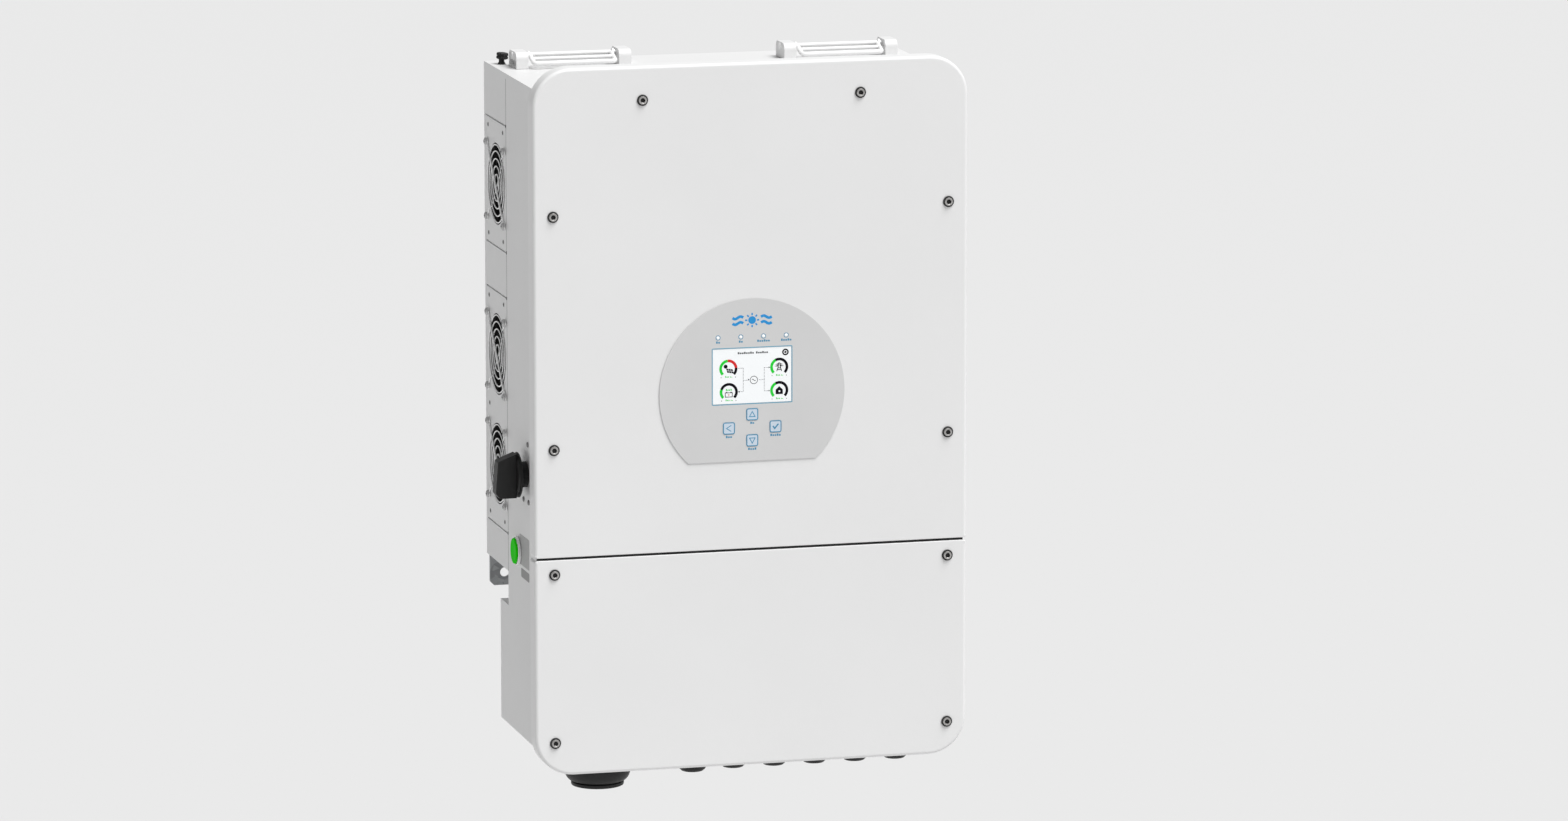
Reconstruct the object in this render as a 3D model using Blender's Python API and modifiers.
"""Wall-hung hybrid string inverter, built as an assembly of its separate pieces.

Frame: metres, +Z up. The wall is the plane Y = 0 and the covers face -Y. The origin is
the middle of the wall bracket's back face. Depths are measured back from the covers'
front face with behind_front(), heights up from the lower cover's bottom edge with
above_bottom().
"""

import math

import bmesh
import bpy
from mathutils import Matrix, Vector

# ---------------------------------------------------------------- driving dimensions
COVER_WIDTH = 0.420
COVER_HEIGHT = 0.670
BODY_DEPTH = 0.233
WALL_GAP = 0.0033
BRACKET_HEIGHT = 0.560
GAP = 0.0003
OVERRUN = 0.001
THROUGH = 0.010

FRONT_Y = -(BODY_DEPTH + WALL_GAP)
BOTTOM_Z = -BRACKET_HEIGHT


def behind_front(depth):
    """Y of a plane this far behind the covers' front face."""
    return FRONT_Y + depth


def above_bottom(height):
    """Z of a plane this far above the lower cover's bottom edge."""
    return BOTTOM_Z + height


# Front case: the sealed housing behind both covers.
CASE_HALF = 0.203
CASE_FRONT = behind_front(0.006)
CASE_BACK = behind_front(0.141)
CASE_FOOT = above_bottom(0.021)
CASE_TOP = above_bottom(0.648)
CASE_WALL = 0.002
FLANGE = 0.0255
BOX_BACK = behind_front(0.175)
BOX_TOP = above_bottom(0.137)
PARTITION = above_bottom(0.2076)
PARTITION_HALF = 0.00125
CROSSBAR_HALF = 0.0135

# Rear chassis: the air duct that holds the heat sink and the fans.
CHASSIS_BACK = -WALL_GAP
CHASSIS_FRONT = CASE_BACK + GAP
CHASSIS_FOOT = above_bottom(0.1704)
HEATSINK_LOW = above_bottom(0.190)
HEATSINK_HIGH = above_bottom(0.630)
FIN_COUNT = 37

# Covers.
SHEET = 0.0015
SEAM_HALF = 0.0012
COVER_DEPTH = 0.019
COVER_CORNER = 0.037
COVER_FILLET = 0.0035
COVER_HOLE = 0.0029
SIDE_SCREW_X = 0.191
TOP_SCREW_X = 0.105
SCREW_HEIGHTS = {"top": 0.638, "upper": 0.5314, "middle": 0.3113, "lower": 0.1927, "foot": 0.0316}

# Fans on the left wall, blowing along +X.
FAN_SIZE = 0.080
FAN_DEPTH = 0.025
FAN_BORE = 0.038
FAN_Y = behind_front(0.182)
FAN_HEIGHTS = [0.537, 0.373, 0.267]
PLATE_HOLE = 0.039
FAN_SCREW_PITCH = 0.0715
SINGLE_PLATE = (above_bottom(0.4767), above_bottom(0.5975))
DOUBLE_PLATE = (above_bottom(0.2065), above_bottom(0.4330))
PLATE_BACK = behind_front(0.2265)
GUARD_RADII = [0.0088, 0.0166, 0.0238, 0.0310, 0.0372]
GUARD_WIRE = 0.0010

# Display on the upper cover.
DISPLAY_Z = above_bottom(0.3575)
DISPLAY_RADIUS = 0.090
DISPLAY_CHORD = above_bottom(0.2925)
OVERLAY = (FRONT_Y - 0.0010, FRONT_Y - GAP)
SCREEN_Z = above_bottom(0.3739)
SCREEN_SIZE = (0.0768, 0.0530)
LED_Z = above_bottom(0.411)
LED_XS = [-0.033, -0.011, 0.011, 0.033]
LED_HOLE = 0.0021
KEY_SIZE = 0.0120
KEY_PLACES = {
    "key_up": (0.0, above_bottom(0.3370)),
    "key_back": (-0.0226, above_bottom(0.3245)),
    "key_enter": (0.0226, above_bottom(0.3245)),
    "key_down": (0.0, above_bottom(0.3122)),
}
KEY_STEM = 0.0025

# Left side controls: the DC switch and the power button.
SWITCH_Y = behind_front(0.0625)
SWITCH_Z = above_bottom(0.278)
BUTTON_Y = behind_front(0.098)
BUTTON_Z = above_bottom(0.198)

# Folding handles on the top.
HANDLE_XS = {"left": -0.131, "right": 0.131}
HANDLE_HALF = 0.056
FOOT_WIDTH = 0.012
PIVOT_Y = behind_front(0.179)
PIVOT_RISE = 0.0117
GRIP_REACH = 0.019
GRIP_DROP = 0.0053
ROD = 0.0023
VENT_PLACE = (-0.192, behind_front(0.205), CASE_TOP)

# Cable glands under the front case.
GLAND_Y = behind_front(0.073)
GLAND_XS = [-0.040 + 0.040 * i for i in range(6)]
BATTERY_GLAND_X = -0.133

# Wall fixings.
BRACKET_HALF = (0.150, 0.035)
PLATE = 0.003
HOOK_XS = [-0.100, 0.100]
EAR_HOLE = (0.1853, above_bottom(0.1505))

# ---------------------------------------------------------------- scene and materials
for old in list(bpy.data.objects):
    bpy.data.objects.remove(old, do_unlink=True)

parts = bpy.data.collections.new("string_inverter")
cutters = bpy.data.collections.new("cutters")
for group in (parts, cutters):
    bpy.context.scene.collection.children.link(group)


def material(name, colour, roughness, metallic=0.0):
    """A Principled BSDF with one colour, roughness and metallic value."""
    made = bpy.data.materials.new(name)
    made.use_nodes = True
    shader = made.node_tree.nodes["Principled BSDF"]
    shader.inputs["Base Color"].default_value = (*colour, 1.0)
    shader.inputs["Roughness"].default_value = roughness
    shader.inputs["Metallic"].default_value = metallic
    return made


COVER_PAINT = material("cover_paint", (0.80, 0.80, 0.79), 0.45)
CASE_PAINT = material("case_paint", (0.74, 0.74, 0.73), 0.50)
BAIL_PAINT = material("bail_paint", (0.84, 0.84, 0.83), 0.35)
BLACK_PLASTIC = material("black_plastic", (0.02, 0.02, 0.02), 0.55)
BLACK_RUBBER = material("black_rubber", (0.03, 0.03, 0.03), 0.80)
STEEL = material("steel", (0.50, 0.50, 0.48), 0.35, 1.0)
WIRE_CHROME = material("wire_chrome", (0.80, 0.80, 0.80), 0.15, 1.0)
ZINC = material("zinc", (0.45, 0.46, 0.47), 0.45, 1.0)
ALUMINIUM = material("aluminium", (0.72, 0.72, 0.73), 0.40, 1.0)
FILM_GREY = material("film_grey", (0.62, 0.62, 0.62), 0.50)
SCREEN = material("screen", (0.85, 0.88, 0.90), 0.20)
CLEAR_PLASTIC = material("clear_plastic", (0.85, 0.90, 0.92), 0.20)
GREEN_LENS = material("green_lens", (0.03, 0.45, 0.01), 0.30)
BOARD_GREEN = material("board_green", (0.02, 0.16, 0.07), 0.45)


# ---------------------------------------------------------------- modelling helpers
AXES = {
    "X": Matrix.Rotation(math.radians(90), 4, "Y"),
    "Y": Matrix.Rotation(math.radians(-90), 4, "X"),
    "Z": Matrix.Identity(4),
}


def add_box(bm, low, high):
    """A box between two opposite corners."""
    low, high = Vector(low), Vector(high)
    size = high - low
    place = Matrix.Translation((low + high) / 2) @ Matrix.Diagonal((*size, 1.0))
    bmesh.ops.create_cube(bm, size=1.0, matrix=place)


def add_cylinder(bm, centre, axis, radius, length, segments=16):
    """A cylinder centred on a point, along a named axis."""
    place = Matrix.Translation(centre) @ AXES[axis]
    bmesh.ops.create_cone(bm, cap_ends=True, segments=segments, radius1=radius, radius2=radius,
                          depth=length, matrix=place)


def add_prism(bm, outline, axis, start, end):
    """A flat outline extruded along an axis: (x, z) points along Y, (y, z) points along X."""
    def place(point, along):
        return (point[0], along, point[1]) if axis == "Y" else (along, point[0], point[1])
    near = [bm.verts.new(place(point, start)) for point in outline]
    cap = bm.faces.new(near)
    pushed = bmesh.ops.extrude_face_region(bm, geom=[cap])
    far = [item for item in pushed["geom"] if isinstance(item, bmesh.types.BMVert)]
    step = Vector(place((0.0, 0.0), end - start))
    bmesh.ops.translate(bm, vec=step, verts=far)
    bmesh.ops.recalc_face_normals(bm, faces=bm.faces[:])


def place_mesh(name, bm, anchor, finish=None, smooth=False):
    """Turn a bmesh in world coordinates into an object whose origin is the anchor."""
    bmesh.ops.translate(bm, vec=-Vector(anchor), verts=bm.verts[:])
    mesh = bpy.data.meshes.new(name)
    bm.to_mesh(mesh)
    bm.free()
    return place_object(name, mesh, anchor, finish, smooth)


def place_object(name, mesh, anchor, finish=None, smooth=False):
    """Link a part, or a cutter when it has no finish."""
    made = bpy.data.objects.new(name, mesh)
    made.location = anchor
    if finish is None:
        cutters.objects.link(made)
        made.hide_render = True
        made.display_type = "WIRE"
    else:
        parts.objects.link(made)
        mesh.materials.append(finish)
    if smooth:
        mesh.shade_smooth()
        mesh.set_sharp_from_angle(angle=math.radians(35))
    return made


def box_part(name, low, high, finish=None):
    """A plain box with its origin at its middle."""
    bm = bmesh.new()
    add_box(bm, low, high)
    return place_mesh(name, bm, (Vector(low) + Vector(high)) / 2, finish)


def combine(target, other, operation):
    """Add a Boolean modifier that cuts or joins another object's mesh."""
    modifier = target.modifiers.new(operation.lower(), "BOOLEAN")
    modifier.object = other
    modifier.operation = operation
    modifier.solver = "EXACT"


def cut(target, other):
    combine(target, other, "DIFFERENCE")


def join(target, other):
    combine(target, other, "UNION")


def cut_boxes(target, name, boxes):
    """Cut boxes that stay clear of each other out of a part."""
    bm = bmesh.new()
    for low, high in boxes:
        add_box(bm, low, high)
    cut(target, place_mesh(name, bm, (0.0, 0.0, 0.0)))


def join_boxes(target, name, boxes):
    """Join boxes that stay clear of each other to a part."""
    bm = bmesh.new()
    for low, high in boxes:
        add_box(bm, low, high)
    join(target, place_mesh(name, bm, (0.0, 0.0, 0.0)))


def cut_holes(target, name, centres, axis, radius, length, segments=12):
    """Cut equal round holes out of a part."""
    bm = bmesh.new()
    for centre in centres:
        add_cylinder(bm, centre, axis, radius, length, segments)
    cut(target, place_mesh(name, bm, (0.0, 0.0, 0.0)))


def join_cylinders(target, name, centres, axis, radius, length, segments=12):
    """Join equal cylinders that stay clear of each other to a part."""
    bm = bmesh.new()
    for centre in centres:
        add_cylinder(bm, centre, axis, radius, length, segments)
    join(target, place_mesh(name, bm, (0.0, 0.0, 0.0)))


def turned(name, profile, anchor, axis, steps, finish, closed=False):
    """Turn (radius, height) points, which run down the outer side, about an axis."""
    mesh = bpy.data.meshes.new(name)
    points = [(radius, 0.0, height) for radius, height in profile]
    edges = [(i, i + 1) for i in range(len(points) - 1)]
    if closed:
        edges.append((len(points) - 1, 0))
    mesh.from_pydata(points, edges, [])
    made = place_object(name, mesh, anchor, finish)
    made.rotation_euler = AXES[axis].to_euler()
    screw = made.modifiers.new("turn", "SCREW")
    screw.axis = "Z"
    screw.steps = steps
    screw.render_steps = steps
    screw.use_merge_vertices = True
    screw.merge_threshold = 0.00001
    screw.use_smooth_shade = True
    return made


def arc(centre, radius, start, end, steps):
    """Points of an arc, angles in degrees, both ends included."""
    points = []
    for i in range(steps + 1):
        angle = math.radians(start + (end - start) * i / steps)
        points.append((centre[0] + radius * math.cos(angle), centre[1] + radius * math.sin(angle)))
    return points


def ring_outline_part(name, half_width, low, high, width, depths, finish):
    """A rectangular ring, such as a gasket."""
    made = box_part(name, (-half_width, depths[0], low), (half_width, depths[1], high), finish)
    inner_low = (-half_width + width, depths[0] - 0.001, low + width)
    inner_high = (half_width - width, depths[1] + 0.001, high - width)
    cut_boxes(made, name + "_inside", [(inner_low, inner_high)])
    return made


def tube_mesh(name, points, radius):
    """The mesh of a round rod along points, with its ends closed and welded."""
    path = bpy.data.curves.new(name, "CURVE")
    path.dimensions = "3D"
    path.bevel_depth = radius
    path.bevel_resolution = 2
    path.use_fill_caps = True
    spline = path.splines.new("POLY")
    spline.points.add(len(points) - 1)
    for point, place in zip(spline.points, points):
        point.co = (*place, 1.0)
    guide = bpy.data.objects.new(name, path)
    cutters.objects.link(guide)
    ready = guide.evaluated_get(bpy.context.evaluated_depsgraph_get())
    mesh = bpy.data.meshes.new_from_object(ready)
    bpy.data.objects.remove(guide, do_unlink=True)
    bm = bmesh.new()
    bm.from_mesh(mesh)
    bmesh.ops.remove_doubles(bm, verts=bm.verts[:], dist=0.00001)
    bmesh.ops.recalc_face_normals(bm, faces=bm.faces[:])
    bm.to_mesh(mesh)
    bm.free()
    return mesh


def screw_places():
    """The (x, z) of all ten cover screws."""
    top = above_bottom(SCREW_HEIGHTS["top"])
    places = {"upper_screw_top_left": (-TOP_SCREW_X, top), "upper_screw_top_right": (TOP_SCREW_X, top)}
    for cover, level in (("upper", "upper"), ("upper", "middle"), ("lower", "lower"), ("lower", "foot")):
        for side, x in (("left", -SIDE_SCREW_X), ("right", SIDE_SCREW_X)):
            places[f"{cover}_screw_{level}_{side}"] = (x, above_bottom(SCREW_HEIGHTS[level]))
    return places


# ---------------------------------------------------------------- front case and seals
def build_front_case():
    """The sealed housing: an upper chamber, a wiring chamber and its deeper rear box."""
    case = box_part("front_case", (-CASE_HALF, CASE_FRONT, CASE_FOOT),
                    (CASE_HALF, CASE_BACK, CASE_TOP), CASE_PAINT)
    join_boxes(case, "wiring_box_outside", [
        ((-CASE_HALF, CASE_BACK - OVERRUN, CASE_FOOT), (CASE_HALF, BOX_BACK, BOX_TOP)),
    ])
    inside = CASE_HALF - CASE_WALL
    chamber_foot = CASE_FOOT + CASE_WALL
    chamber_back = CASE_BACK - CASE_WALL
    chamber_front = CASE_FRONT + CASE_WALL
    cut_boxes(case, "chambers", [
        ((-inside, chamber_front, PARTITION + PARTITION_HALF),
         (inside, chamber_back, CASE_TOP - CASE_WALL)),
        ((-inside, chamber_front, chamber_foot),
         (inside, chamber_back, PARTITION - PARTITION_HALF)),
    ])
    cut_boxes(case, "wiring_box_inside", [
        ((-inside, chamber_back - OVERRUN, chamber_foot),
         (inside, BOX_BACK - CASE_WALL, BOX_TOP - CASE_WALL)),
    ])
    mouth = CASE_HALF - FLANGE - CASE_WALL
    cut_boxes(case, "mouths", [
        ((-mouth, CASE_FRONT - OVERRUN, PARTITION + CROSSBAR_HALF),
         (mouth, chamber_front + OVERRUN, CASE_TOP - FLANGE - CASE_WALL)),
        ((-mouth, CASE_FRONT - OVERRUN, CASE_FOOT + FLANGE + CASE_WALL),
         (mouth, chamber_front + OVERRUN, PARTITION - CROSSBAR_HALF)),
        ((-0.155, chamber_back - OVERRUN, above_bottom(0.235)),
         (0.165, CASE_BACK + OVERRUN, above_bottom(0.615))),
    ])
    screws = [(x, CASE_FRONT, z) for x, z in screw_places().values()]
    cut_holes(case, "case_screw_holes", screws, "Y", COVER_HOLE, 0.006)
    side_holes = (("switch_hole", SWITCH_Y, SWITCH_Z, 0.0066), ("button_hole", BUTTON_Y, BUTTON_Z, 0.0084))
    for name, y, z, radius in side_holes:
        cut_holes(case, name, [(-CASE_HALF, y, z)], "X", radius, THROUGH, 16)
    cut_holes(case, "gland_holes", [(x, GLAND_Y, CASE_FOOT) for x in GLAND_XS], "Z", 0.0106, THROUGH)
    battery_place = (BATTERY_GLAND_X, GLAND_Y, CASE_FOOT)
    cut_holes(case, "battery_gland_hole", [battery_place], "Z", 0.0226, THROUGH, 20)


def build_gaskets():
    """A foam gasket between each cover and the case's front flange."""
    depths = (FRONT_Y + SHEET + GAP, CASE_FRONT - GAP)
    half_width, width, seat = 0.1855, 0.007, 0.0040
    top, foot = above_bottom(0.6315), above_bottom(0.0380)
    ring_outline_part("upper_gasket", half_width, PARTITION + seat, top, width, depths, BLACK_RUBBER)
    ring_outline_part("lower_gasket", half_width, foot, PARTITION - seat, width, depths, BLACK_RUBBER)


# ---------------------------------------------------------------- covers and their screws
def cover_outline(low, high, low_radius, high_radius):
    """A cover's outline in (x, z), with rounded corners, counter-clockwise from the lower left."""
    half = COVER_WIDTH / 2
    def corner_steps(radius):
        return 7 if radius > 0.01 else 2
    low_steps, high_steps = corner_steps(low_radius), corner_steps(high_radius)
    return (arc((-half + low_radius, low + low_radius), low_radius, 180, 270, low_steps)
            + arc((half - low_radius, low + low_radius), low_radius, 270, 360, low_steps)
            + arc((half - high_radius, high - high_radius), high_radius, 0, 90, high_steps)
            + arc((-half + high_radius, high - high_radius), high_radius, 90, 180, high_steps))


def cover_shell(name, outline):
    """A shallow pressed tray: rounded front edge, skirt turned back, one sheet thick."""
    bm = bmesh.new()
    add_prism(bm, outline, "Y", FRONT_Y, FRONT_Y + COVER_DEPTH)
    bm.faces.ensure_lookup_table()
    front = min(bm.faces, key=lambda face: face.calc_center_median().y)
    back = max(bm.faces, key=lambda face: face.calc_center_median().y)
    bmesh.ops.bevel(bm, geom=front.edges[:], offset=COVER_FILLET, segments=3, profile=0.5, affect="EDGES")
    bmesh.ops.delete(bm, geom=[back], context="FACES")
    middle = (0.0, FRONT_Y, (outline[0][1] + outline[-1][1]) / 2)
    shell = place_mesh(name, bm, middle, COVER_PAINT, smooth=True)
    solid = shell.modifiers.new("sheet", "SOLIDIFY")
    solid.thickness = SHEET
    solid.offset = -1.0
    solid.use_even_offset = True
    return shell


def build_covers():
    """The upper cover carries the display; both hang over the case all round."""
    seam_low = PARTITION - SEAM_HALF
    seam_high = PARTITION + SEAM_HALF
    square = 0.003
    fold = FRONT_Y + 0.0055
    skirt_inside = COVER_WIDTH / 2 - 0.0018
    upper_top, lower_foot = above_bottom(COVER_HEIGHT), above_bottom(0.0)
    upper = cover_shell("upper_cover", cover_outline(seam_high, upper_top, square, COVER_CORNER))
    lower = cover_shell("lower_cover", cover_outline(lower_foot, seam_low, COVER_CORNER, square))
    fold_back = fold + COVER_DEPTH
    seam_cut = 0.003
    cut_boxes(upper, "upper_seam_fold", [
        ((-skirt_inside, fold, seam_high - OVERRUN), (skirt_inside, fold_back, seam_high + seam_cut))])
    cut_boxes(lower, "lower_seam_fold", [
        ((-skirt_inside, fold, seam_low - seam_cut), (skirt_inside, fold_back, seam_low + OVERRUN))])
    for name, (x, z) in screw_places().items():
        cover = upper if name.startswith("upper") else lower
        cut_holes(cover, name + "_hole", [(x, FRONT_Y, z)], "Y", COVER_HOLE, THROUGH)
    half_width, half_height = SCREEN_SIZE[0] / 2, SCREEN_SIZE[1] / 2
    cut_boxes(upper, "screen_window", [
        ((-half_width, FRONT_Y - OVERRUN, SCREEN_Z - half_height),
         (half_width, FRONT_Y + SHEET + OVERRUN, SCREEN_Z + half_height))])
    leds = [(x, FRONT_Y, LED_Z) for x in LED_XS]
    cut_holes(upper, "led_windows", leds, "Y", LED_HOLE, THROUGH, 8)
    keys = [(x, FRONT_Y, z) for x, z in KEY_PLACES.values()]
    cut_holes(upper, "key_windows", keys, "Y", 0.0031, THROUGH, 10)


def build_cover_screws():
    """Socket-head screws with a sealing washer under each head."""
    washer, head, socket, shank = 0.0053, 0.0039, 0.0020, 0.0024
    for name, (x, z) in screw_places().items():
        # Heights run along +Y from the cover's face; the profile runs from the tip to the head.
        profile = [(0.0, 0.0090), (shank, 0.0090), (shank, -GAP), (washer, -GAP), (washer, -0.0012),
                   (head, -0.0012), (head, -0.0026), (socket, -0.0026), (socket, -0.0010), (0.0, -0.0010)]
        turned(name, profile, (x, FRONT_Y, z), "Y", 10, STEEL)


# ---------------------------------------------------------------- display
def display_outline():
    """The overlay's circle with its flat lower edge, as (x, z) points."""
    drop = DISPLAY_Z - DISPLAY_CHORD
    low_angle = math.degrees(math.asin(drop / DISPLAY_RADIUS))
    return arc((0.0, DISPLAY_Z), DISPLAY_RADIUS, -low_angle, 180 + low_angle, 32)


def build_display():
    """Overlay film, screen, keys, light pipe and the board behind them."""
    bm = bmesh.new()
    add_prism(bm, display_outline(), "Y", OVERLAY[0], OVERLAY[1])
    overlay = place_mesh("display_overlay", bm, (0.0, OVERLAY[1], DISPLAY_Z), FILM_GREY)
    half_width, half_height = SCREEN_SIZE[0] / 2, SCREEN_SIZE[1] / 2
    windows = [((-half_width, FRONT_Y - 0.002, SCREEN_Z - half_height),
                (half_width, FRONT_Y + 0.001, SCREEN_Z + half_height))]
    half_key = KEY_SIZE / 2
    for x, z in KEY_PLACES.values():
        windows.append(((x - half_key, FRONT_Y - 0.002, z - half_key),
                        (x + half_key, FRONT_Y + 0.001, z + half_key)))
    cut_boxes(overlay, "overlay_windows", windows)
    leds = [(x, FRONT_Y, LED_Z) for x in LED_XS]
    cut_holes(overlay, "overlay_led_windows", leds, "Y", LED_HOLE, 0.004, 8)

    box_part("lcd_module", (-half_width + GAP, FRONT_Y - 0.0008, SCREEN_Z - half_height + GAP),
             (half_width - GAP, behind_front(0.009), SCREEN_Z + half_height - GAP), SCREEN)

    for name, (x, z) in KEY_PLACES.items():
        half_cap = half_key - GAP
        bm = bmesh.new()
        add_box(bm, (x - half_cap, FRONT_Y - 0.0013, z - half_cap),
                (x + half_cap, FRONT_Y - 0.0008, z + half_cap))
        key = place_mesh(name, bm, (x, FRONT_Y, z), FILM_GREY)
        stem_front, stem_back = FRONT_Y - 0.0010, FRONT_Y + 0.0040
        stem_middle = (x, (stem_front + stem_back) / 2, z)
        join_cylinders(key, name + "_stem", [stem_middle], "Y", KEY_STEM, stem_back - stem_front, 10)

    bar_front = FRONT_Y + SHEET + GAP
    bar_half = (0.038, 0.003)
    pipe = box_part("status_light_pipe", (-bar_half[0], bar_front, LED_Z - bar_half[1]),
                    (bar_half[0], behind_front(0.005), LED_Z + bar_half[1]), CLEAR_PLASTIC)
    pin_front, pin_back = FRONT_Y - 0.0010, bar_front + OVERRUN
    pins = [(x, (pin_front + pin_back) / 2, LED_Z) for x in LED_XS]
    join_cylinders(pipe, "light_pipe_pins", pins, "Y", 0.0016, pin_back - pin_front, 8)

    board_front = behind_front(0.0093)
    board = box_part("display_board", (-0.052, board_front, above_bottom(0.300)),
                     (0.052, board_front + 0.0016, above_bottom(0.425)), BOARD_GREEN)
    domes = []
    half_dome = 0.003
    for x, z in KEY_PLACES.values():
        domes.append(((x - half_dome, behind_front(0.0048), z - half_dome),
                      (x + half_dome, board_front + 0.0005, z + half_dome)))
    join_boxes(board, "key_switches", domes)


# ---------------------------------------------------------------- rear chassis and cooling
def build_rear_chassis():
    """A deep sheet hood behind the case: fan openings on the left, air slots on the right."""
    inside = CASE_HALF - CASE_WALL
    chassis = box_part("rear_chassis", (-CASE_HALF, CHASSIS_FRONT, CHASSIS_FOOT),
                       (CASE_HALF, CHASSIS_BACK, CASE_TOP), CASE_PAINT)
    cut_boxes(chassis, "duct", [((-inside, CHASSIS_FRONT - 0.001, CHASSIS_FOOT + CASE_WALL),
                                 (inside, CHASSIS_BACK - CASE_WALL, CASE_TOP - CASE_WALL))])
    back_fit, end_fit = 0.0004, 0.0009
    openings = []
    for low, high in (SINGLE_PLATE, DOUBLE_PLATE):
        openings.append(((-CASE_HALF - OVERRUN, CHASSIS_FRONT - OVERRUN, low - end_fit),
                         (-inside + OVERRUN, PLATE_BACK + back_fit, high + end_fit)))
    cut_boxes(chassis, "fan_openings", openings)
    ledges = []
    for edge in (*SINGLE_PLATE, *DOUBLE_PLATE):
        ledges.append(((-inside - 0.0002, CHASSIS_FRONT + 0.0015, edge - 0.0035),
                       (-inside + 0.0012, PLATE_BACK + 0.003, edge + 0.0035)))
    join_boxes(chassis, "plate_ledges", ledges)
    slots = []
    slot_pitch = 0.0265
    for i in range(17):
        low = CHASSIS_FOOT + 0.022 + slot_pitch * i
        slots.append(((inside - OVERRUN, behind_front(0.152), low),
                      (CASE_HALF + OVERRUN, behind_front(0.222), low + 0.010)))
    cut_boxes(chassis, "air_slots", slots)
    hooks = []
    half_slot = 0.0135
    for x in HOOK_XS:
        hooks.append(((x - half_slot, CHASSIS_BACK - CASE_WALL - OVERRUN, -0.006),
                      (x + half_slot, CHASSIS_BACK + OVERRUN, 0.0133)))
    cut_boxes(chassis, "hook_slots", hooks)
    cut_holes(chassis, "vent_hole", [VENT_PLACE], "Z", 0.0045, THROUGH)


def comb_outline(base, tip, low, high, count, tooth):
    """A comb in (y, z): a flat base on one side and equal teeth reaching to the tip."""
    pitch = (high - low - tooth) / (count - 1)
    teeth_root, teeth_tip = tip
    points = [(base, low)]
    for i in range(count):
        start = low + pitch * i
        if i:
            points.append((teeth_root, start))
        points.append((teeth_tip, start))
        points.append((teeth_tip, start + tooth))
        if i < count - 1:
            points.append((teeth_root, start + tooth))
    points.append((base, high))
    return points


def build_heat_sink():
    """An extruded aluminium sink whose fins guide the fans' air along X."""
    base = CHASSIS_FRONT + GAP
    fins = (base + 0.0075, behind_front(0.222))
    outline = comb_outline(base, fins, HEATSINK_LOW, HEATSINK_HIGH, FIN_COUNT, 0.0020)
    bm = bmesh.new()
    add_prism(bm, outline, "X", -0.165, 0.190)
    place_mesh("heat_sink", bm, (0.0, base, (HEATSINK_LOW + HEATSINK_HIGH) / 2), ALUMINIUM)


def build_fan_plates():
    """Screwed plates that carry one fan and two fans, flush with the chassis wall."""
    for name, (low, high), heights in (("fan_plate_single", SINGLE_PLATE, FAN_HEIGHTS[:1]),
                                       ("fan_plate_double", DOUBLE_PLATE, FAN_HEIGHTS[1:])):
        plate = box_part(name, (-CASE_HALF, CHASSIS_FRONT + 0.0002, low),
                         (-CASE_HALF + SHEET, PLATE_BACK, high), CASE_PAINT)
        centres = [(-CASE_HALF, FAN_Y, above_bottom(height)) for height in heights]
        cut_holes(plate, name + "_air_holes", centres, "X", PLATE_HOLE, THROUGH, 32)


def build_fan(number, centre_z):
    """One axial fan: square frame with its motor hub, bladed rotor and wire finger guard."""
    outer = -CASE_HALF + SHEET + GAP
    inner = outer + FAN_DEPTH
    half = FAN_SIZE / 2
    frame = box_part(f"fan_frame_{number}", (outer, FAN_Y - half, centre_z - half),
                     (inner, FAN_Y + half, centre_z + half), BLACK_PLASTIC)
    frame_middle = ((outer + inner) / 2, FAN_Y, centre_z)
    cut_holes(frame, f"fan_bore_{number}", [frame_middle], "X", FAN_BORE, FAN_DEPTH + 2 * OVERRUN, 28)
    strut_depth, strut_half, reach = 0.003, 0.002, half - 0.001
    bm = bmesh.new()
    add_box(bm, (inner - strut_depth, FAN_Y - strut_half, centre_z - reach),
            (inner - 0.0005, FAN_Y + strut_half, centre_z + reach))
    join(frame, place_mesh(f"fan_upright_{number}", bm, (0.0, 0.0, 0.0)))
    bm = bmesh.new()
    add_box(bm, (inner - strut_depth, FAN_Y - reach, centre_z - strut_half),
            (inner - 0.0006, FAN_Y + reach, centre_z + strut_half))
    join(frame, place_mesh(f"fan_crossbar_{number}", bm, (0.0, 0.0, 0.0)))
    hub_depth = 0.0045
    hub_middle = (inner - hub_depth / 2 - 0.0002, FAN_Y, centre_z)
    join_cylinders(frame, f"motor_hub_{number}", [hub_middle], "X", 0.014, hub_depth, 16)
    cut_holes(frame, f"shaft_hole_{number}", [(inner - 0.004, FAN_Y, centre_z)], "X", 0.0020, 0.012, 8)

    rotor_outer, rotor_inner = outer + 0.002, inner - hub_depth - 0.0008
    middle = (rotor_outer + rotor_inner) / 2
    bm = bmesh.new()
    add_cylinder(bm, (middle, FAN_Y, centre_z), "X", 0.0150, rotor_inner - rotor_outer, 20)
    rotor = place_mesh(f"fan_rotor_{number}", bm, (middle, FAN_Y, centre_z), BLACK_PLASTIC, smooth=True)
    shaft_end = inner - 0.001
    join_cylinders(rotor, f"fan_shaft_{number}", [((middle + shaft_end) / 2, FAN_Y, centre_z)], "X", 0.0015,
                   shaft_end - middle, 8)
    join(rotor, fan_blades(number, middle, centre_z))
    build_finger_guard(number, centre_z)


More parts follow.
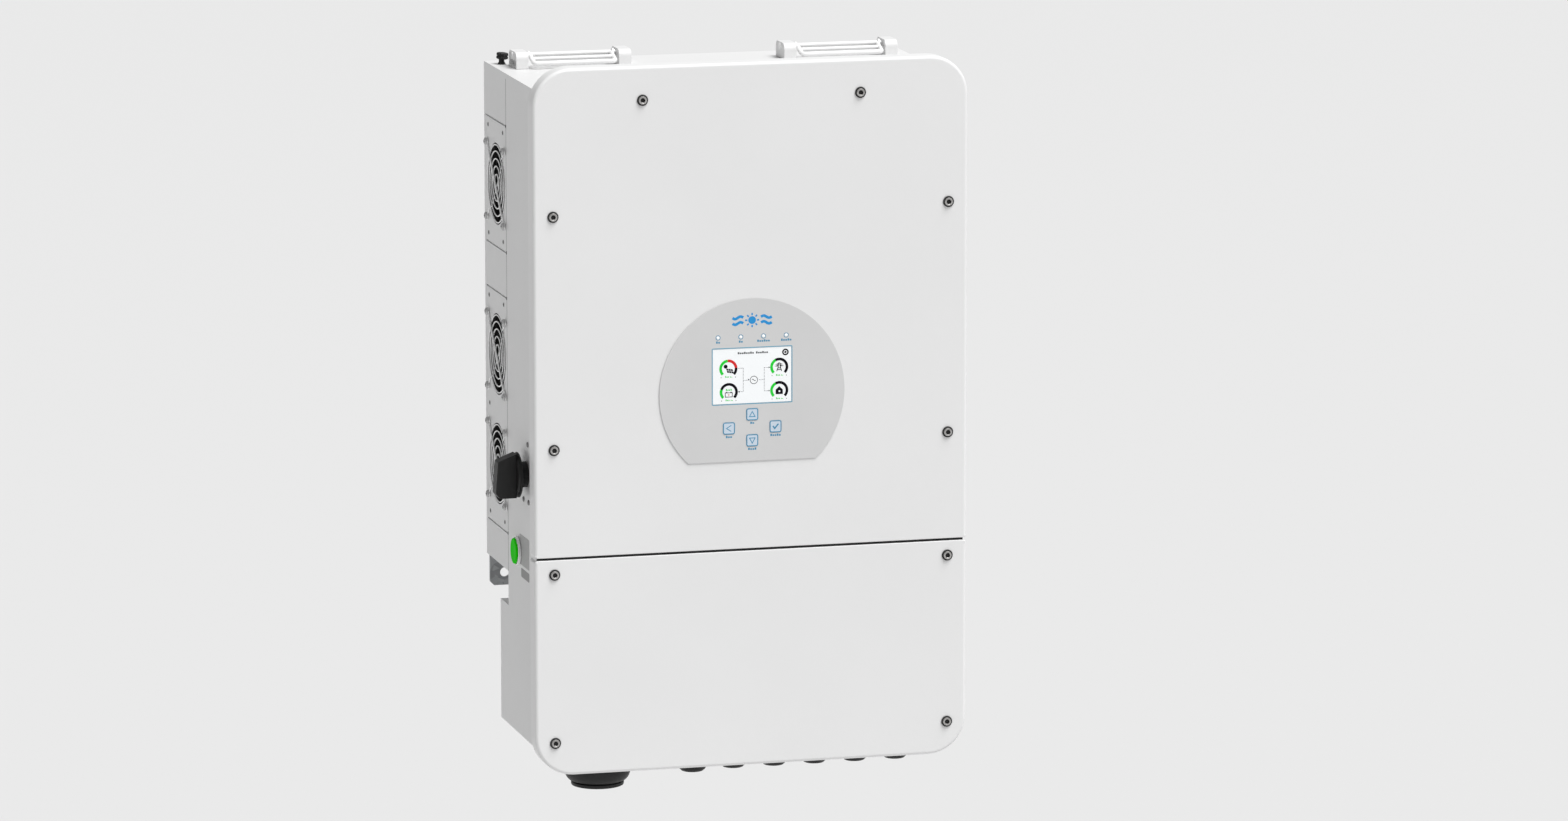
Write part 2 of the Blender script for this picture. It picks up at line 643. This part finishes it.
def fan_blades(number, middle, centre_z):
    """Seven flat pitched blades, rooted inside the rotor's hub."""
    root, tip, chord, thickness, pitch = 0.012, 0.0362, 0.0185, 0.0016, math.radians(38)
    bm = bmesh.new()
    for i in range(7):
        turn = Matrix.Rotation(2 * math.pi * i / 7, 4, "X")
        lean = Matrix.Rotation(pitch, 4, "Z")
        size = Matrix.Diagonal((thickness, chord, tip - root, 1.0))
        lift = Matrix.Translation((0.0, 0.0, (root + tip) / 2))
        place = Matrix.Translation((middle, FAN_Y, centre_z)) @ turn @ lift @ lean @ size
        bmesh.ops.create_cube(bm, size=1.0, matrix=place)
    return place_mesh(f"fan_blades_{number}", bm, (0.0, 0.0, 0.0))


def build_finger_guard(number, centre_z):
    """Wire rings inside the plate's hole, on crossed wires that end in eyelets at the fan's screws."""
    cross_plane = -CASE_HALF - 0.0012
    ring_plane = -CASE_HALF + 0.0002
    centre = Vector((cross_plane, FAN_Y, centre_z))
    reach = FAN_SCREW_PITCH / math.sqrt(2)
    guard = None
    for angle in (45, -45):
        bm = bmesh.new()
        turn = Matrix.Translation(centre) @ Matrix.Rotation(math.radians(angle), 4, "X")
        bmesh.ops.create_cone(bm, cap_ends=True, segments=4, radius1=GUARD_WIRE, radius2=GUARD_WIRE,
                              depth=2 * reach, matrix=turn)
        if guard is None:
            guard = place_mesh(f"finger_guard_{number}", bm, centre, WIRE_CHROME)
        else:
            join(guard, place_mesh(f"guard_cross_wire_{number}", bm, (0.0, 0.0, 0.0)))
    half = FAN_SCREW_PITCH / 2
    eyelet_plane = cross_plane + 0.0002
    eyelets = [(eyelet_plane, FAN_Y + y, centre_z + z) for y in (-half, half) for z in (-half, half)]
    join_cylinders(guard, f"guard_eyelets_{number}", eyelets, "X", 0.0036, 0.0014, 8)
    bm = bmesh.new()
    ring_centre = Vector((ring_plane, FAN_Y, centre_z))
    for radius in GUARD_RADII:
        add_ring(bm, ring_centre, radius, GUARD_WIRE, 12 if radius < 0.020 else 20)
    join(guard, place_mesh(f"guard_rings_{number}", bm, (0.0, 0.0, 0.0)))


def add_ring(bm, centre, radius, wire, segments):
    """A square-section wire ring about the X axis, spun from its section."""
    section = []
    for i in range(4):
        angle = math.pi / 4 + math.pi / 2 * i
        offset = Vector((wire * math.cos(angle), 0.0, radius + wire * math.sin(angle)))
        section.append(bm.verts.new(centre + offset))
    loop = [bm.edges.new((section[i], section[(i + 1) % 4])) for i in range(4)]
    bmesh.ops.spin(bm, geom=section + loop, cent=centre, axis=(1.0, 0.0, 0.0), angle=2 * math.pi,
                   steps=segments, use_merge=True)
    bmesh.ops.recalc_face_normals(bm, faces=bm.faces[:])


# ---------------------------------------------------------------- left side controls
def build_switch():
    """The DC switch: its body inside the case, its collar outside, and the turning grip."""
    body_half, body_depth, neck_radius, collar_radius = 0.023, 0.048, 0.0060, 0.0119
    inner = -CASE_HALF + CASE_WALL + GAP
    base = box_part("dc_switch_body", (inner, SWITCH_Y - body_half, SWITCH_Z - body_half),
                    (inner + body_depth, SWITCH_Y + body_half, SWITCH_Z + body_half), BLACK_PLASTIC)
    collar_inner = -CASE_HALF - GAP
    collar_outer = collar_inner - 0.0072
    neck_end = inner + OVERRUN
    neck_middle = ((collar_outer + neck_end) / 2 + 0.001, SWITCH_Y, SWITCH_Z)
    neck_length = neck_end - collar_outer - 0.002
    join_cylinders(base, "switch_neck", [neck_middle], "X", neck_radius, neck_length, 12)
    collar_middle = ((collar_outer + collar_inner) / 2, SWITCH_Y, SWITCH_Z)
    collar_length = collar_inner - collar_outer
    join_cylinders(base, "switch_collar", [collar_middle], "X", collar_radius, collar_length, 20)
    cut_holes(base, "spindle_hole", [(collar_outer, SWITCH_Y, SWITCH_Z)], "X", 0.0036, 0.024, 10)

    knob_inner = collar_outer - GAP
    disc = [(0.0, 0.0), (0.0205, 0.0), (0.0215, -0.0006), (0.0215, -0.0016), (0.0, -0.0016)]
    knob = turned("dc_switch_knob", disc, (knob_inner, SWITCH_Y, SWITCH_Z), "X", 20, BLACK_PLASTIC)
    spindle_middle = (knob_inner + 0.004, SWITCH_Y, SWITCH_Z)
    join_cylinders(knob, "switch_spindle", [spindle_middle], "X", 0.0030, 0.012, 10)
    root, tip, half_width, half_height = knob_inner - 0.0012, knob_inner - 0.0212, 0.008, 0.0212
    outline = [(root, SWITCH_Z - half_height), (root, SWITCH_Z + half_height), (tip, SWITCH_Z + 0.0140),
               (tip - 0.0022, SWITCH_Z - 0.0165), (tip + 0.0015, SWITCH_Z - half_height)]
    bm = bmesh.new()
    corners = [bm.verts.new((x, SWITCH_Y - half_width, z)) for x, z in outline]
    cap = bm.faces.new(corners)
    pushed = bmesh.ops.extrude_face_region(bm, geom=[cap])
    far = [item for item in pushed["geom"] if isinstance(item, bmesh.types.BMVert)]
    bmesh.ops.translate(bm, vec=(0.0, 2 * half_width, 0.0), verts=far)
    bmesh.ops.recalc_face_normals(bm, faces=bm.faces[:])
    join(knob, place_mesh("switch_grip", bm, (0.0, 0.0, 0.0)))


def build_power_button():
    """A lit push button in a threaded bezel; the cap sinks 2.5 mm into the bezel."""
    side = (-CASE_HALF, BUTTON_Y, BUTTON_Z)
    # Heights are along +X, so the outer end of each piece has the lowest height.
    bezel = [(0.0064, 0.0140), (0.0080, 0.0140), (0.0080, -GAP), (0.0138, -GAP), (0.0138, -0.0026),
             (0.0131, -0.0032), (0.0128, -0.0032), (0.0128, -0.0008), (0.0064, -0.0008)]
    turned("power_button_bezel", bezel, side, "X", 16, STEEL, closed=True)
    cap = [(0.0, 0.0100), (0.0058, 0.0100), (0.0058, -0.0036), (0.0122, -0.0036), (0.0122, -0.0046),
           (0.0116, -0.0052), (0.0, -0.0052)]
    turned("power_button", cap, side, "X", 16, GREEN_LENS)


# ---------------------------------------------------------------- top: handles and vent
def build_handle(side, middle):
    """Two feet and a two-bar bail that folds forward between them."""
    foot_back, foot_front = behind_front(0.196), behind_front(0.164)
    low, high, round_top = CASE_TOP + GAP, CASE_TOP + 0.0158, 0.0065
    outline = ([(foot_front, low), (foot_back, low)]
               + arc((foot_back - round_top, high - round_top), round_top, 0, 90, 4)
               + arc((foot_front + round_top, high - round_top), round_top, 90, 180, 4))
    pivot_z = CASE_TOP + PIVOT_RISE
    for end, direction in (("outer", -1), ("inner", 1)):
        away = direction if middle < 0 else -direction
        outside = middle + away * HANDLE_HALF
        inside = outside - away * FOOT_WIDTH
        bm = bmesh.new()
        add_prism(bm, outline, "X", min(outside, inside), max(outside, inside))
        middle_of_foot = ((outside + inside) / 2, PIVOT_Y, low)
        foot = place_mesh(f"handle_foot_{side}_{end}", bm, middle_of_foot, CASE_PAINT, smooth=True)
        cut_holes(foot, f"pivot_hole_{side}_{end}", [(outside, PIVOT_Y, pivot_z)], "X", 0.0027, 0.040, 12)

    pivot = Vector((middle, PIVOT_Y, pivot_z))
    arm = HANDLE_HALF - FOOT_WIDTH - 0.0045
    bend = 0.006
    reach = Vector((0.0, -GRIP_REACH, -GRIP_DROP))
    along = reach.normalized()
    path = []
    for sign in (-1, 1):
        corner = []
        for i in range(5):
            angle = math.radians(90 * i / 4)
            sideways = sign * (arm - bend * (1 - math.cos(angle)))
            forward = reach.length - bend * (1 - math.sin(angle))
            corner.append(Vector((sideways, 0.0, 0.0)) + along * forward)
        leg = [Vector((sign * arm, 0.0, 0.0))] + corner
        path += leg if sign < 0 else leg[::-1]
    rod = tube_mesh(f"bail_{side}", path, ROD)
    bail = place_object(f"handle_bail_{side}", rod, pivot, BAIL_PAINT, smooth=True)
    join_cylinders(bail, f"pivot_rod_{side}", [pivot], "X", ROD, 2 * HANDLE_HALF + 0.003, 10)
    join_cylinders(bail, f"middle_bar_{side}", [pivot + reach * 0.5], "X", ROD * 0.9, 2 * arm - 0.0004, 8)


def build_vent():
    """The black breather plug at the back left of the top."""
    profile = [(0.0, 0.0112), (0.0040, 0.0112), (0.0054, 0.0098), (0.0054, 0.0060), (0.0044, 0.0050),
               (0.0030, 0.0048), (0.0030, 0.0020), (0.0052, 0.0018), (0.0052, GAP), (0.0040, GAP),
               (0.0040, -0.0060), (0.0, -0.0060)]
    turned("breather_vent", profile, VENT_PLACE, "Z", 12, BLACK_PLASTIC)


# ---------------------------------------------------------------- underside: glands
def build_glands():
    """Black screwed glands with blanking plugs: one large for the battery leads, six small."""
    neck_top = CASE_WALL + 0.006
    small_length = 0.0382
    for number, x in enumerate(GLAND_XS, start=1):
        grow = 1.08 if number == 1 else 1.0
        length = small_length + (0.0015 if number == 1 else 0.0)
        flange, barrel, taper, mouth = 0.0160 * grow, 0.0142 * grow, 0.0118 * grow, 0.0105 * grow
        profile = [(0.0, neck_top), (0.0098, neck_top), (0.0098, -GAP), (flange, -GAP), (flange, -0.0065),
                   (barrel, -0.0075), (barrel, -length + 0.0160), (taper, -length + 0.0030),
                   (mouth, -length), (0.0, -length)]
        turned(f"cable_gland_{number}", profile, (x, GLAND_Y, CASE_FOOT), "Z", 12, BLACK_PLASTIC)
    profile = [(0.0, neck_top), (0.0220, neck_top), (0.0220, -GAP), (0.0318, -GAP), (0.0318, -0.0330),
               (0.0300, -0.0390), (0.0265, -0.0425), (0.0238, -0.0433), (0.0252, -0.0443),
               (0.0252, -0.0468), (0.0238, -0.0477), (0.0, -0.0477)]
    turned("battery_gland", profile, (BATTERY_GLAND_X, GLAND_Y, CASE_FOOT), "Z", 18, BLACK_PLASTIC)


# ---------------------------------------------------------------- wall fixings
def build_wall_bracket():
    """The plate that is screwed to the wall; its hooks reach through the chassis's back."""
    half_width, half_height = BRACKET_HALF
    bracket = box_part("wall_bracket", (-half_width, -PLATE, -half_height),
                       (half_width, 0.0, half_height), ZINC)
    tongues, lips = [], []
    for x in HOOK_XS:
        tongues.append(((x - 0.012, -0.0105, 0.0100), (x + 0.012, -PLATE + 0.001, 0.0130)))
        lips.append(((x - 0.0115, -0.0104, 0.0105), (x + 0.0115, -0.0078, 0.0240)))
    join_boxes(bracket, "hook_tongues", tongues)
    join_boxes(bracket, "hook_lips", lips)
    holes = [(x, 0.0, z) for x in (-0.130, 0.130) for z in (-0.020, 0.020)]
    cut_holes(bracket, "bracket_holes", holes, "Y", 0.0041, 0.010)


def build_ears():
    """Plates at the chassis's lower corners, each with a hole for a wall screw."""
    hole_x, hole_z = EAR_HOLE
    low, high, near, far, chamfer = above_bottom(0.138), above_bottom(0.198), 0.166, 0.200, 0.004
    for side, sign in (("left", -1), ("right", 1)):
        outline = [(sign * near, low), (sign * (far - chamfer), low), (sign * far, low + chamfer),
                   (sign * far, high), (sign * near, high)]
        bm = bmesh.new()
        add_prism(bm, outline, "Y", -PLATE, 0.0)
        ear = place_mesh(f"wall_ear_{side}", bm, (sign * hole_x, -PLATE / 2, hole_z), ZINC)
        cut_holes(ear, f"ear_hole_{side}", [(sign * hole_x, 0.0, hole_z)], "Y", 0.0047, 0.010, 16)


# ---------------------------------------------------------------- inside
def build_power_board():
    """The main board on stand-offs, with its capacitors, chokes and relays."""
    face, back = behind_front(0.1250), behind_front(0.1266)
    board = box_part("power_board", (-0.160, face, above_bottom(0.240)),
                     (0.160, back, above_bottom(0.610)), BOARD_GREEN)
    rows = [above_bottom(0.300), above_bottom(0.345)]
    cans = [(-0.130 + 0.035 * i, face - 0.019, z) for i in range(4) for z in rows]
    join_cylinders(board, "capacitors", cans, "Y", 0.0150, 0.040, 12)
    chokes = [(x, face - 0.024, above_bottom(0.560)) for x in (-0.110, -0.030, 0.050)]
    join_cylinders(board, "chokes", chokes, "Y", 0.0330, 0.050, 14)
    relays = []
    for i in range(4):
        x = 0.040 + 0.028 * i
        relays.append(((x, face - 0.025, above_bottom(0.290)),
                       (x + 0.020, face + 0.0005, above_bottom(0.330))))
    join_boxes(board, "relays", relays)
    inner_face, sunk = CASE_BACK - CASE_WALL - GAP, 0.0005
    middle = (back + inner_face - sunk) / 2
    corners = [(x, middle, above_bottom(z)) for x in (-0.150, 0.150) for z in (0.250, 0.600)]
    join_cylinders(board, "stand_offs", corners, "Y", 0.0035, inner_face - back + sunk, 8)


def build_terminal_block():
    """The screw terminals for the grid, load, generator and battery leads."""
    back, face = CASE_BACK - CASE_WALL - GAP, behind_front(0.112)
    outline = comb_outline(back, (face + 0.008, face), above_bottom(0.144), above_bottom(0.184), 2, 0.012)
    bm = bmesh.new()
    add_prism(bm, outline, "X", -0.150, 0.150)
    block = place_mesh("terminal_block", bm, (0.0, back, above_bottom(0.164)), BLACK_PLASTIC)
    walls = []
    for i in range(13):
        x = -0.150 + 0.0242 * i
        walls.append(((x + 0.0002, face + 0.0005, above_bottom(0.1445)),
                      (x + 0.0018, face + 0.0090, above_bottom(0.1835))))
    join_boxes(block, "barriers", walls)


build_front_case()
build_gaskets()
build_covers()
build_cover_screws()
build_display()
build_rear_chassis()
build_heat_sink()
build_fan_plates()
for fan_number, fan_height in enumerate(FAN_HEIGHTS, start=1):
    build_fan(fan_number, above_bottom(fan_height))
build_switch()
build_power_button()
for handle_side, handle_x in HANDLE_XS.items():
    build_handle(handle_side, handle_x)
build_vent()
build_glands()
build_wall_bracket()
build_ears()
build_power_board()
build_terminal_block()
